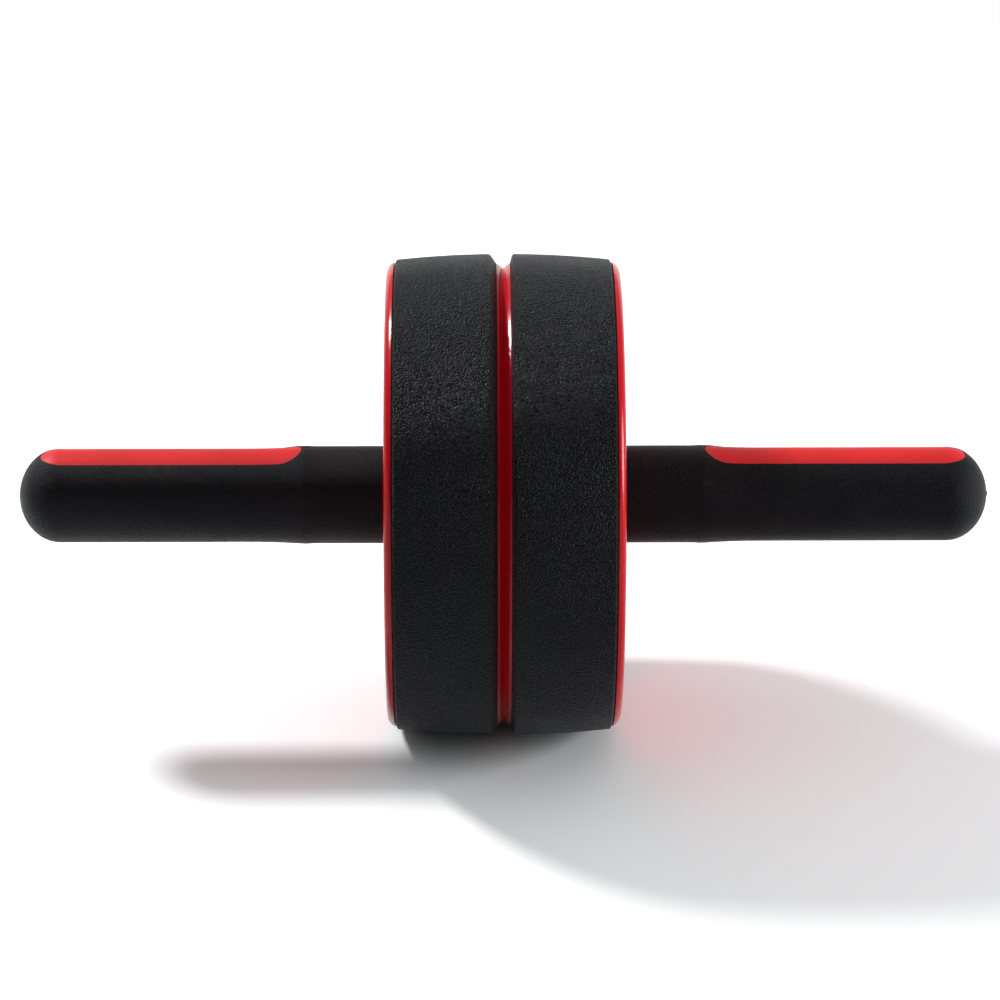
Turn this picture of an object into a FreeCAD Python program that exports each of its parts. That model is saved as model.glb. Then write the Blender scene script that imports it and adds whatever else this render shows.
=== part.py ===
import FreeCAD, Part
import math
import os
from FreeCAD import Vector

# Ab wheel roller: a wide wheel with two soft treads, free to turn on a steel axle tube between soft grips.
# Millimetres. The axle lies along X, +Z is up, the front faces -Y, and the origin is the centre of the wheel.
# Pieces are made for the right-hand side. A left-hand twin is the same piece turned half round about Z.

# Wheel outline
wheel_diameter = 180.0
wheel_width = 86.6
crown_arc_radius = 375.0  # of the gentle arc across both treads
rim_drop = 3.0  # from the crown down to the top of the red rim
rim_lip_width = 2.7  # red rim that shows outside each tread
rim_shoulder_radius = 4.0
rim_face_width = 5.0  # flat ring on the side of the rim, below the shoulder
groove_width = 5.0  # red groove between the treads
groove_edge_drop = 3.6  # from the crown down to the groove's edges
groove_root_drop = 5.5  # from the crown down to the middle of the groove
groove_swell = 0.2  # how far each side of the groove bows out from straight

# Treads
tread_depth = 7.0  # from the crown down to the drum that carries the tread
tread_wall_lean = 1.0  # how far the groove-side wall leans away from the groove
tread_inner_rounding = 1.8
tread_outer_step = 1.1  # width of the bevel beside the rim
tread_outer_rounding = 0.4
tread_key_depth = 1.5
tread_key_width = 4.0
tread_key_count = 2

# Wheel half shell
drum_wall = 3.0
web_wall = 3.0
dish_depth = 12.3  # from the side of the rim in to the web
dish_run = 4.5  # radial lean of the wall between rim and web
dish_rounding = 3.0
edge_rounding = 0.8
joint_lip_depth = 2.0  # inward lip where the two halves meet
joint_lip_wall = 3.0

# Hub and bushes
hub_rise = 4.0  # from the web out to the hub's end
hub_foot_flare = 2.0  # how much wider the hub's boss is at the web than at its end, in radius
hub_wall = 4.5
hub_face_margin = 2.5  # hub face left showing round the bush's flange
hub_relief = 1.5  # clear space round the axle between the bushes
bush_wall = 3.5
bush_flange_thickness = 2.0
bush_flange_overhang = 4.5
flange_rounding = 0.5  # on the flanges of bushes and plugs
bush_stop_offset = 7.0  # from the middle of the wheel to the shoulder that stops each bush
running_clearance = 0.05
end_float = 0.3

# Spoke ribs on the outside of the web, stiffening ribs inside
rib_count = 6
spoke_inner_width = 14.0
spoke_outer_width = 8.0
spoke_draft = 0.8
spoke_step = 0.8  # how far the spokes stay below the hub's end
spoke_root = 1.2  # how deep a spoke is rooted in the walls that it joins
stiffener_thickness = 2.2
stiffener_root = 1.0  # how deep a stiffening rib is rooted in the walls that it joins
stiffener_setback = 2.0  # from the plane where the halves meet

# Wheel screws and their bosses, alternately a clearance boss and a pilot boss
boss_wall = 2.4
wheel_screw_radius = 2.0
wheel_screw_head_radius = 3.8
wheel_screw_head_height = 2.8
wheel_screw_seat_offset = 10.0  # from the plane where the halves meet to the seat of the head
wheel_screw_bite = 15.0
screw_clearance = 0.05
driver_clearance = 0.8  # round a screw's head
screw_point_length = 2.0
screw_end_room = 1.5
spigot_wall = 1.8
spigot_length = 2.0
spigot_clearance = 0.15

# Axle and plugs
axle_diameter = 19.0
axle_wall = 1.5
axle_end_inset = 21.0  # from the tip of the grip to the end of the tube
tube_chamfer = 0.4
plug_clearance = 0.05
plug_flange_thickness = 2.0
plug_overrun = 10.0  # of plug past the inner grip screw
plug_lead = 1.5

# Thrust washers
washer_thickness = 1.5
washer_clearance = 0.1
washer_overhang = 7.5

# Grips
overall_length = 362.0
core_wall = 3.7
core_fit = 0.02
core_end_room = 0.3
core_end_wall = 4.0
core_end_rounding = 2.5
core_collar_thickness = 3.0
core_collar_inset = 0.4  # below the neck of the sleeve
core_ring_count = 4
core_ring_width = 3.0
core_ring_height = 0.9
core_spline_count = 4
core_spline_width = 2.5
sleeve_floor = 2.05  # soft layer between core and insert
neck_step = 0.55  # how much thicker the neck beside the wheel is, in radius
ridge_step = 0.2  # how far the ridge stands above the neck
neck_length = 35.4  # from the inner end of the grip to the ridge
ridge_run = 3.5
ridge_rounding = 10.0
flare_length = 21.0
dome_length = 15.3
sleeve_end_rounding = 1.0

# Inserts, let in along the top of the grips
insert_width = 17.3
insert_thickness = 2.1
insert_recess = 0.3  # how far an insert lies below the grip round it
insert_tip_inset = 8.2  # from the tip of the grip
insert_apex_gap = 1.2  # from the ridge
insert_gap = 0.12

# Grip screws under the inserts
grip_screw_inset = 24.0  # from each end of the insert
grip_screw_radius = 2.0
grip_screw_length = 12.0
grip_screw_head_radius = 3.6
grip_screw_head_height = 2.2
grip_screw_cover = 0.4  # between head and insert

# Radii and places that follow from the sizes above
wheel_radius = wheel_diameter / 2
half_width = wheel_width / 2
tread_inner_x = groove_width / 2
tread_outer_x = half_width - rim_lip_width
drum_radius = wheel_radius - tread_depth
drum_bore_radius = drum_radius - drum_wall
rim_radius = wheel_radius - rim_drop
shoulder_start_radius = rim_radius - rim_shoulder_radius
shoulder_centre_x = half_width - rim_shoulder_radius
rim_edge_offset = tread_outer_x - shoulder_centre_x
rim_edge_radius = shoulder_start_radius + math.sqrt(rim_shoulder_radius**2 - rim_edge_offset**2)
rim_bore_radius = shoulder_start_radius - rim_face_width
groove_edge_radius = wheel_radius - groove_edge_drop
groove_root_radius = wheel_radius - groove_root_drop
web_outer_x = half_width - dish_depth
web_inner_x = web_outer_x - web_wall
web_middle_x = (web_outer_x + web_inner_x) / 2
dish_foot_radius = rim_bore_radius - dish_run
dish_slope = dish_run / dish_depth
dish_wall_across = web_wall * math.hypot(1.0, dish_slope)

axle_radius = axle_diameter / 2
axle_bore_radius = axle_radius - axle_wall
bush_bore_radius = axle_radius + running_clearance
bush_radius = bush_bore_radius + bush_wall
bush_flange_radius = bush_radius + bush_flange_overhang
hub_radius = bush_radius + hub_wall
hub_face_radius = bush_flange_radius + hub_face_margin
hub_foot_radius = hub_face_radius + hub_foot_flare
hub_end_x = web_outer_x + hub_rise
bush_end_x = hub_end_x + bush_flange_thickness
washer_inner_x = bush_end_x + end_float
grip_inner_x = washer_inner_x + washer_thickness

spoke_top_x = hub_end_x - spoke_step
boss_circle_radius = (hub_face_radius + dish_foot_radius) / 2
screw_hole_radius = wheel_screw_radius + screw_clearance
head_bore_radius = wheel_screw_head_radius + driver_clearance
boss_radius = head_bore_radius + boss_wall
spigot_radius = screw_hole_radius + spigot_wall
full_turn = 360.0
rib_pitch = full_turn / rib_count
screw_angles = [rib_pitch * (i + 0.5) for i in range(0, rib_count, 2)]
pilot_angles = [rib_pitch * (i + 0.5) for i in range(1, rib_count, 2)]

core_bore_radius = axle_radius + core_fit
core_radius = core_bore_radius + core_wall
insert_floor_radius = core_radius + sleeve_floor
pocket_depth = insert_thickness + insert_recess
grip_radius = insert_floor_radius + pocket_depth
neck_radius = grip_radius + neck_step
ridge_radius = neck_radius + ridge_step
collar_radius = neck_radius - core_collar_inset
grip_tip_x = overall_length / 2
dome_start_x = grip_tip_x - dome_length
axle_end_x = grip_tip_x - axle_end_inset
core_bore_end_x = axle_end_x + plug_flange_thickness + core_end_room
core_end_x = core_bore_end_x + core_end_wall
sleeve_inner_x = grip_inner_x + core_collar_thickness
ridge_x = grip_inner_x + neck_length
flare_end_x = ridge_x + flare_length
insert_tip_x = grip_tip_x - insert_tip_inset
insert_apex_x = ridge_x + insert_apex_gap
grip_screw_places = [insert_apex_x + grip_screw_inset, insert_tip_x - grip_screw_inset]
grip_screw_hole_radius = grip_screw_radius + screw_clearance
grip_head_bore_radius = grip_screw_head_radius + driver_clearance
grip_head_top_z = math.sqrt(insert_floor_radius**2 - grip_screw_head_radius**2) - grip_screw_cover
grip_screw_seat_z = grip_head_top_z - grip_screw_head_height
grip_screw_point_z = grip_screw_seat_z - grip_screw_length

ELLIPSE_WEIGHT = math.sqrt(0.5)
CENTRE = Vector(0, 0, 0)
ALONG = Vector(1, 0, 0)
UP = Vector(0, 0, 1)


def rounding(before, corner, after, radius):
    """Start, middle and end of the arc of that radius which rounds a corner between two neighbours."""
    to_before = (before - corner).normalize()
    to_after = (after - corner).normalize()
    half_angle = to_before.getAngle(to_after) / 2
    reach = radius / math.tan(half_angle)
    bisector = (to_before + to_after).normalize()
    middle = corner + bisector * (radius / math.sin(half_angle) - radius)
    return corner + to_before * reach, middle, corner + to_after * reach


def chain(corners):
    """Edges through corners (along the axle, out from it, rounding, bow) in the plane of X and Z.

    The rounding and the bow may be left out. A bow is a point on the curve that leads to the next corner."""
    points = [Vector(corner[0], 0, corner[1]) for corner in corners]
    radii = [corner[2] if len(corner) > 2 else 0 for corner in corners]
    bows = [Vector(corner[3][0], 0, corner[3][1]) if len(corner) > 3 else None for corner in corners]
    edges = []
    here = points[0]
    for i in range(1, len(points)):
        start, middle, end = points[i], None, points[i]
        if radii[i]:
            before = bows[i - 1] or points[i - 1]
            after = bows[i] or points[i + 1]
            start, middle, end = rounding(before, points[i], after, radii[i])
        if bows[i - 1]:
            edges.append(Part.Arc(here, bows[i - 1], start).toShape())
        else:
            edges.append(Part.LineSegment(here, start).toShape())
        if middle:
            edges.append(Part.Arc(start, middle, end).toShape())
        here = end
    return edges


def ring(corners):
    """Solid of revolution about the axle from a closed run of corners."""
    return turned(chain(corners + corners[:1]))


def turned(edges):
    """Solid of revolution about the axle from a closed run of edges."""
    return Part.Face(Part.Wire(edges)).revolve(CENTRE, ALONG, full_turn)


def quarter(start, corner, end):
    """Quarter of an ellipse from start to end, tangent to the sides that meet at corner."""
    curve = Part.BSplineCurve()
    weights = [1.0, ELLIPSE_WEIGHT, 1.0]
    curve.buildFromPolesMultsKnots([start, corner, end], [3, 3], [0.0, 1.0], False, 2, weights)
    return curve.toShape()


def rod(radius, start_x, end_x, centre=CENTRE):
    """Round bar along X."""
    return Part.makeCylinder(radius, end_x - start_x, centre + ALONG * start_x, ALONG)


def post(radius, x, bottom_z, top_z):
    """Round bar along Z through the middle of the grip."""
    return Part.makeCylinder(radius, top_z - bottom_z, Vector(x, 0, bottom_z), UP)


def around(angle, radius):
    """Point at an angle from +Z, turning towards +Y, at a radius from the axle."""
    return Vector(0, radius * math.sin(math.radians(angle)), radius * math.cos(math.radians(angle)))


def spun(shape, angle):
    """Copy turned about the axle by the same angle as around uses."""
    copy = shape.copy()
    copy.rotate(CENTRE, ALONG, -angle)
    return copy


def twin(shape):
    """Left-hand copy: the right-hand piece turned half round about Z."""
    copy = shape.copy()
    copy.rotate(CENTRE, UP, full_turn / 2)
    return copy


def crown_radius(x):
    """Radius of the treads' crown at a distance along the axle from the middle of the wheel."""
    return wheel_radius - crown_arc_radius + math.sqrt(crown_arc_radius**2 - x**2)


def key_corners():
    """Run of corners along the drum, from rim to groove, with the square keys that lock the tread."""
    corners = []
    pitch = (tread_outer_x - tread_inner_x) / tread_key_count
    for i in reversed(range(tread_key_count)):
        middle = tread_inner_x + pitch * (i + 0.5)
        outer = middle + tread_key_width / 2
        inner = middle - tread_key_width / 2
        floor = drum_radius - tread_key_depth
        corners += [(outer, drum_radius), (outer, floor), (inner, floor), (inner, drum_radius)]
    return corners


def make_tread():
    """Soft band with a crowned face, a rounded edge at the groove and a small bevel at the rim."""
    wall_top_x = tread_inner_x + tread_wall_lean
    bevel_x = tread_outer_x - tread_outer_step
    middle_x = (wall_top_x + bevel_x) / 2
    crown_middle = (middle_x, crown_radius(middle_x))
    return ring(
        [
            (tread_inner_x, drum_radius),
            (tread_inner_x, groove_edge_radius),
            (wall_top_x, crown_radius(wall_top_x), tread_inner_rounding, crown_middle),
            (bevel_x, crown_radius(bevel_x), tread_outer_rounding),
            (tread_outer_x, rim_edge_radius),
            (tread_outer_x, drum_radius),
        ]
        + key_corners()
    )


def make_shell():
    """Turned body of a wheel half: hub, web, dished side, rim, drum and its half of the centre groove."""
    shoulder_reach = math.sqrt(0.5) * rim_shoulder_radius
    shoulder_middle = (shoulder_centre_x + shoulder_reach, shoulder_start_radius + shoulder_reach)
    groove_rise = groove_edge_radius - groove_root_radius
    groove_share = groove_swell / math.hypot(tread_inner_x, groove_rise)
    groove_middle_x = tread_inner_x / 2 - groove_share * groove_rise
    groove_middle = (groove_middle_x, groove_root_radius + groove_rise / 2 + groove_share * tread_inner_x)
    dish_inner_radius = dish_foot_radius - web_wall * dish_slope + dish_wall_across
    wedge_x = web_outer_x + (drum_bore_radius - dish_foot_radius - dish_wall_across) / dish_slope
    lip_radius = drum_bore_radius - joint_lip_depth
    relief_radius = axle_radius + hub_relief
    return ring(
        [
            (0, relief_radius),
            (bush_stop_offset, relief_radius),
            (bush_stop_offset, bush_radius),
            (hub_end_x, bush_radius),
            (hub_end_x, hub_face_radius, edge_rounding),
            (web_outer_x, hub_foot_radius, edge_rounding),
            (web_outer_x, dish_foot_radius, dish_rounding),
            (half_width, rim_bore_radius, edge_rounding),
            (half_width, shoulder_start_radius, 0, shoulder_middle),
            (tread_outer_x, rim_edge_radius),
            (tread_outer_x, drum_radius),
        ]
        + key_corners()
        + [
            (tread_inner_x, drum_radius),
            (tread_inner_x, groove_edge_radius, 0, groove_middle),
            (0, groove_root_radius),
            (0, lip_radius),
            (joint_lip_wall, lip_radius),
            (joint_lip_wall, drum_bore_radius),
            (wedge_x, drum_bore_radius),
            (web_inner_x, dish_inner_radius),
            (web_inner_x, hub_radius),
            (0, hub_radius),
        ]
    )


def make_spoke():
    """Broad drafted rib on the outside of the web, from the hub's boss to the dished wall, pointing up."""

    def plan(x, draft):
        inner = hub_face_radius - spoke_root
        outer = dish_foot_radius + (x - web_outer_x) * dish_slope + spoke_root
        inner_half = spoke_inner_width / 2 - draft
        outer_half = spoke_outer_width / 2 - draft
        corners = [(inner_half, inner), (outer_half, outer), (-outer_half, outer), (-inner_half, inner)]
        points = [Vector(x, across, out) for across, out in corners]
        return Part.makePolygon(points + points[:1])

    return Part.makeLoft([plan(web_outer_x - spoke_root, 0), plan(spoke_top_x, spoke_draft)], True, True)


def make_stiffener():
    """Thin radial rib inside the shell, from the hub to the drum, pointing up."""
    inner = hub_radius - stiffener_root
    outer = drum_bore_radius + stiffener_root
    corner = Vector(stiffener_setback, -stiffener_thickness / 2, inner)
    length = web_inner_x + stiffener_root - stiffener_setback
    return Part.makeBox(length, stiffener_thickness, outer - inner, corner)


def make_wheel_half():
    """Red half shell. Its clearance bosses face the pilot bosses of its twin."""
    spoke = make_spoke()
    stiffener = make_stiffener()
    added = []
    cuts = []
    for i in range(rib_count):
        added += [spun(spoke, rib_pitch * i), spun(stiffener, rib_pitch * i)]
    for angle in screw_angles:
        centre = around(angle, boss_circle_radius)
        added += [rod(boss_radius, 0, web_middle_x, centre), rod(spigot_radius, -spigot_length, 0, centre)]
        cuts += [rod(screw_hole_radius, -spigot_length, wheel_screw_seat_offset, centre)]
        cuts += [rod(head_bore_radius, wheel_screw_seat_offset, web_outer_x, centre)]
    for angle in pilot_angles:
        centre = around(angle, boss_circle_radius)
        added += [rod(boss_radius, 0, web_middle_x, centre)]
        cuts += [rod(screw_hole_radius, 0, wheel_screw_bite + screw_end_room, centre)]
        cuts += [rod(spigot_radius + spigot_clearance, 0, spigot_length + spigot_clearance, centre)]
    return make_shell().multiFuse(added).cut(cuts).removeSplitter()


def make_bush():
    """Flanged plain bush, stopped by the shoulder in the hub."""
    return ring(
        [
            (bush_stop_offset, bush_bore_radius),
            (bush_end_x, bush_bore_radius),
            (bush_end_x, bush_flange_radius, flange_rounding),
            (hub_end_x, bush_flange_radius),
            (hub_end_x, bush_radius),
            (bush_stop_offset, bush_radius),
        ]
    )


def make_screw(radius, length, head_radius, head_height):
    """Self-tapping screw along X with a domed head: its seat is at the origin and its point at -X."""
    edge_height = head_height / 2
    ball_radius = (head_radius**2 + edge_height**2) / (2 * edge_height)
    half_angle = math.asin(head_radius / ball_radius) / 2
    cap_middle = (head_height - ball_radius * (1 - math.cos(half_angle)), ball_radius * math.sin(half_angle))
    return turned(
        chain(
            [
                (-length, 0),
                (screw_point_length - length, radius),
                (0, radius),
                (0, head_radius),
                (edge_height, head_radius, 0, cap_middle),
                (head_height, 0),
                (-length, 0),
            ]
        )
    )


def make_wheel_screws():
    """The screws put in from the right; their twins come from the left."""
    length = wheel_screw_seat_offset + wheel_screw_bite
    screws = []
    for angle in screw_angles:
        screw = make_screw(wheel_screw_radius, length, wheel_screw_head_radius, wheel_screw_head_height)
        screw.translate(around(angle, boss_circle_radius) + ALONG * wheel_screw_seat_offset)
        screws.append(screw)
    return screws


def make_washer():
    """Flat thrust washer that stands on the grip's collar, clear of the bush by the end float."""
    inner = axle_radius + washer_clearance
    outer = axle_radius + washer_overhang
    return rod(outer, washer_inner_x, grip_inner_x).cut(rod(inner, washer_inner_x, grip_inner_x))


def make_axle_tube():
    """Steel tube from grip to grip, with the grip screws' holes in its upper wall."""
    bore_edge = axle_bore_radius + tube_chamfer
    outer_edge = axle_radius - tube_chamfer
    tube = ring(
        [
            (-axle_end_x + tube_chamfer, axle_bore_radius),
            (axle_end_x - tube_chamfer, axle_bore_radius),
            (axle_end_x, bore_edge),
            (axle_end_x, outer_edge),
            (axle_end_x - tube_chamfer, axle_radius),
            (-axle_end_x + tube_chamfer, axle_radius),
            (-axle_end_x, outer_edge),
            (-axle_end_x, bore_edge),
        ]
    )
    holes = [post(grip_screw_hole_radius, x, 0, axle_diameter) for x in grip_screw_places]
    return tube.cut(holes + [twin(hole) for hole in holes])


def make_axle_plug():
    """Plastic plug pushed into the end of the tube, which holds the grip screws' points."""
    inner_x = grip_screw_places[0] - plug_overrun
    plug_radius = axle_bore_radius - plug_clearance
    plug = ring(
        [
            (inner_x, 0),
            (inner_x, plug_radius - plug_lead),
            (inner_x + plug_lead, plug_radius),
            (axle_end_x, plug_radius),
            (axle_end_x, axle_radius),
            (axle_end_x + plug_flange_thickness, axle_radius, flange_rounding),
            (axle_end_x + plug_flange_thickness, 0),
        ]
    )
    holes = [post(grip_screw_hole_radius, x, grip_screw_point_z, axle_diameter) for x in grip_screw_places]
    return plug.cut(holes)


def make_core_outside():
    """Core without its bore: collar, barrel, locking rings and lengthwise splines."""
    corners = [(grip_inner_x, 0), (grip_inner_x, collar_radius), (sleeve_inner_x, collar_radius)]
    corners += [(sleeve_inner_x, core_radius)]
    ring_radius = core_radius + core_ring_height
    pitch = (axle_end_x - sleeve_inner_x) / core_ring_count
    for i in range(core_ring_count):
        start = sleeve_inner_x + pitch * (i + 0.5) - core_ring_width / 2
        end = start + core_ring_width
        corners += [(start, core_radius), (start, ring_radius), (end, ring_radius), (end, core_radius)]
    corners += [(core_end_x, core_radius, core_end_rounding), (core_end_x, 0)]
    core = ring(corners)
    corner = Vector(sleeve_inner_x, -core_spline_width / 2, core_radius - core_wall / 2)
    spline_length = axle_end_x - sleeve_inner_x
    spline = Part.makeBox(spline_length, core_spline_width, core_wall / 2 + core_ring_height, corner)
    pitch_angle = full_turn / core_spline_count
    splines = [spun(spline, pitch_angle * (i + 0.5)) for i in range(core_spline_count)]
    return core.multiFuse(splines).removeSplitter()


def make_grip_core(outside):
    """Hard core bored for the axle, with counterbored holes for the screws along its top."""
    cuts = [rod(core_bore_radius, grip_inner_x, core_bore_end_x)]
    for x in grip_screw_places:
        cuts += [post(grip_screw_hole_radius, x, 0, grip_screw_seat_z)]
        cuts += [post(grip_head_bore_radius, x, grip_screw_seat_z, insert_floor_radius)]
    return outside.cut(cuts)


def make_grip_form(recess):
    """Whole outer form of a grip, smaller by a recess: neck, ridge, flare, barrel and domed end."""
    barrel = grip_radius - recess
    neck = barrel + neck_step
    ridge = neck + ridge_step
    flare_middle_x = (ridge_x + flare_end_x) / 2
    flare_middle = (flare_middle_x, barrel + (ridge - barrel) / 4)
    edges = chain(
        [
            (sleeve_inner_x, 0),
            (sleeve_inner_x, neck, sleeve_end_rounding),
            (ridge_x - ridge_run, neck, ridge_rounding),
            (ridge_x, ridge, ridge_rounding, flare_middle),
            (flare_end_x, barrel),
            (dome_start_x, barrel),
        ]
    )
    return turned(edges + dome(barrel, dome_length - recess))


def dome(radius, length):
    """Edges of a domed end after the barrel, and of the axis back to the sleeve's inner end."""
    start = Vector(dome_start_x, 0, radius)
    corner = Vector(dome_start_x + length, 0, radius)
    end = Vector(dome_start_x + length, 0, 0)
    home = Vector(sleeve_inner_x, 0, 0)
    return [quarter(start, corner, end), Part.LineSegment(end, home).toShape()]


def make_pocket_floor():
    """Form under the insert: the grip's barrel and dome, smaller by the pocket's depth."""
    edges = chain(
        [
            (sleeve_inner_x, 0),
            (sleeve_inner_x, insert_floor_radius),
            (dome_start_x, insert_floor_radius),
        ]
    )
    return turned(edges + dome(insert_floor_radius, dome_length - pocket_depth))


def make_insert_prism(gap):
    """Upright prism over the insert's plan, grown by a gap: straight sides and half-round ends."""
    half = insert_width / 2 + gap
    apex = Vector(insert_apex_x - gap, 0, 0)
    tip = Vector(insert_tip_x + gap, 0, 0)
    inner_front = Vector(apex.x + half, -half, 0)
    inner_back = Vector(apex.x + half, half, 0)
    outer_front = Vector(tip.x - half, -half, 0)
    outer_back = Vector(tip.x - half, half, 0)
    edges = [
        Part.LineSegment(inner_front, outer_front).toShape(),
        Part.Arc(outer_front, tip, outer_back).toShape(),
        Part.LineSegment(outer_back, inner_back).toShape(),
        Part.Arc(inner_back, apex, inner_front).toShape(),
    ]
    return Part.Face(Part.Wire(edges)).extrude(UP * 2 * ridge_radius)


def make_grip_sleeve(grip, core, floor):
    """Soft sleeve over the core, with the insert's pocket and a window over each screw."""
    pocket = make_insert_prism(insert_gap).cut(floor)
    windows = [post(grip_head_bore_radius, x, grip_screw_seat_z, ridge_radius) for x in grip_screw_places]
    return grip.cut([core, pocket] + windows)


def make_grip_insert(floor):
    """Strip that fills the pocket up to its recess."""
    return make_insert_prism(0).common(make_grip_form(insert_recess)).cut(floor)


def make_grip_screws():
    """The screws under the right insert."""
    sizes = (grip_screw_radius, grip_screw_length, grip_screw_head_radius, grip_screw_head_height)
    screws = []
    for x in grip_screw_places:
        screw = make_screw(*sizes)
        screw.rotate(CENTRE, Vector(0, 1, 0), -full_turn / 4)
        screw.translate(Vector(x, 0, grip_screw_seat_z))
        screws.append(screw)
    return screws


def save(name, shape):
    """Write one node, after a test that its solids are sound."""
    if not shape.isValid() or shape.Volume <= 0:
        raise ValueError(name + " is not a sound solid")
    shape.exportStep(os.path.join("parts", name + ".step"))
    print(name, len(shape.Solids), "solids", round(shape.Volume), "mm3")


def save_pair(name, shape):
    """Write the right-hand piece and its left-hand twin as two nodes."""
    save("right_" + name, shape)
    save("left_" + name, twin(shape))


def save_group(name, shapes):
    """Write like pieces of both sides as one node of separate solids."""
    save(name, Part.makeCompound(shapes + [twin(shape) for shape in shapes]))


def main():
    os.makedirs("parts", exist_ok=True)
    grip_outside = make_grip_form(0)
    core_outside = make_core_outside()
    pocket_floor = make_pocket_floor()
    save("axle_tube", make_axle_tube())
    save_pair("axle_plug", make_axle_plug())
    save_pair("grip_core", make_grip_core(core_outside))
    save_pair("grip_sleeve", make_grip_sleeve(grip_outside, core_outside, pocket_floor))
    save_pair("grip_insert", make_grip_insert(pocket_floor))
    save_group("grip_screws", make_grip_screws())
    save_pair("thrust_washer", make_washer())
    save_pair("wheel_half", make_wheel_half())
    save_pair("tread", make_tread())
    save_pair("bush", make_bush())
    save_group("wheel_screws", make_wheel_screws())


main()
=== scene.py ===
"""Looks of an ab wheel roller: grained treads, glossy red wheel halves, soft grips with red inserts, studio stage.

Metres. The axle lies along X, +Z is up, the front faces -Y and the origin is the centre of the wheel.
Pieces are worked out for the right-hand side. A left-hand one is the same piece turned half round about Z."""

import math

import bpy
import numpy as np
from bpy.props import FloatProperty, FloatVectorProperty, IntProperty, PointerProperty
from bpy.types import Operator, Panel, PropertyGroup
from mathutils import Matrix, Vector


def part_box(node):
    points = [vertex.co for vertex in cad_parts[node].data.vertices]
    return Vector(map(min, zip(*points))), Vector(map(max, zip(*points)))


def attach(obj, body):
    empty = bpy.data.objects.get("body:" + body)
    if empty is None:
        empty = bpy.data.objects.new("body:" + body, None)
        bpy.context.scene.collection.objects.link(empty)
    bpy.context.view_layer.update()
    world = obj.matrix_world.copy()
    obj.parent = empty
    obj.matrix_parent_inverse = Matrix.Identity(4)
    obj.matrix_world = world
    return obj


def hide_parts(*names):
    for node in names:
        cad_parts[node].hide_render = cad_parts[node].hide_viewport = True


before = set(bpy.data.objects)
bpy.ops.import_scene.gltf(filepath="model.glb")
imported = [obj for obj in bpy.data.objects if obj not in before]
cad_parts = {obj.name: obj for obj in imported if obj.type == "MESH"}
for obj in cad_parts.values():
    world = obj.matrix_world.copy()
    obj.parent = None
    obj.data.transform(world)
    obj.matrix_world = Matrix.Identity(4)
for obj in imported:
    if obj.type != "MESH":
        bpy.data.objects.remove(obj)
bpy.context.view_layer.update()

bl_info = {
    "name": "Ab Wheel Roller",
    "version": (1, 0, 0),
    "blender": (4, 5, 0),
    "location": "3D View > Sidebar > Ab Wheel",
    "description": "Dresses an ab wheel roller with grained rubber, glossy plastic and a studio stage",
    "category": "Object",
}

MM = 0.001
QUARTER = math.pi / 2  # of a turn
WELD = 1e-7  # points closer than this become one
NO_AREA = 1e-12  # twice the area below which a triangle is left out
TINY = 1e-9  # keeps divisors off nought
TREAD_LOW, TREAD_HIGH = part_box("right_tread")
SLEEVE_LOW, SLEEVE_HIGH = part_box("right_grip_sleeve")
INSERT_LOW, INSERT_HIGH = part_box("right_grip_insert")


def length(name, description, default):
    """Property for a length in metres."""
    return FloatProperty(name=name, description=description, default=default, precision=5, unit="LENGTH")


def count(name, description, default):
    """Property for a number of steps in a grid."""
    return IntProperty(name=name, description=description, default=default, min=3)


def amount(name, description, default):
    """Property for a plain number from nought up."""
    return FloatProperty(name=name, description=description, default=default, min=0.0)


def factor(name, description, default):
    """Property for a number from nought to one."""
    return FloatProperty(name=name, description=description, default=default, min=0.0, max=1.0, subtype="FACTOR")


def angle(name, description, degrees):
    """Property for an angle."""
    return FloatProperty(name=name, description=description, default=math.radians(degrees), subtype="ANGLE")


def colour(name, description, default):
    """Property for a colour."""
    return FloatVectorProperty(
        name=name, description=description, default=(*default, 1.0), size=4, subtype="COLOR", min=0.0, max=1.0
    )


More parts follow.
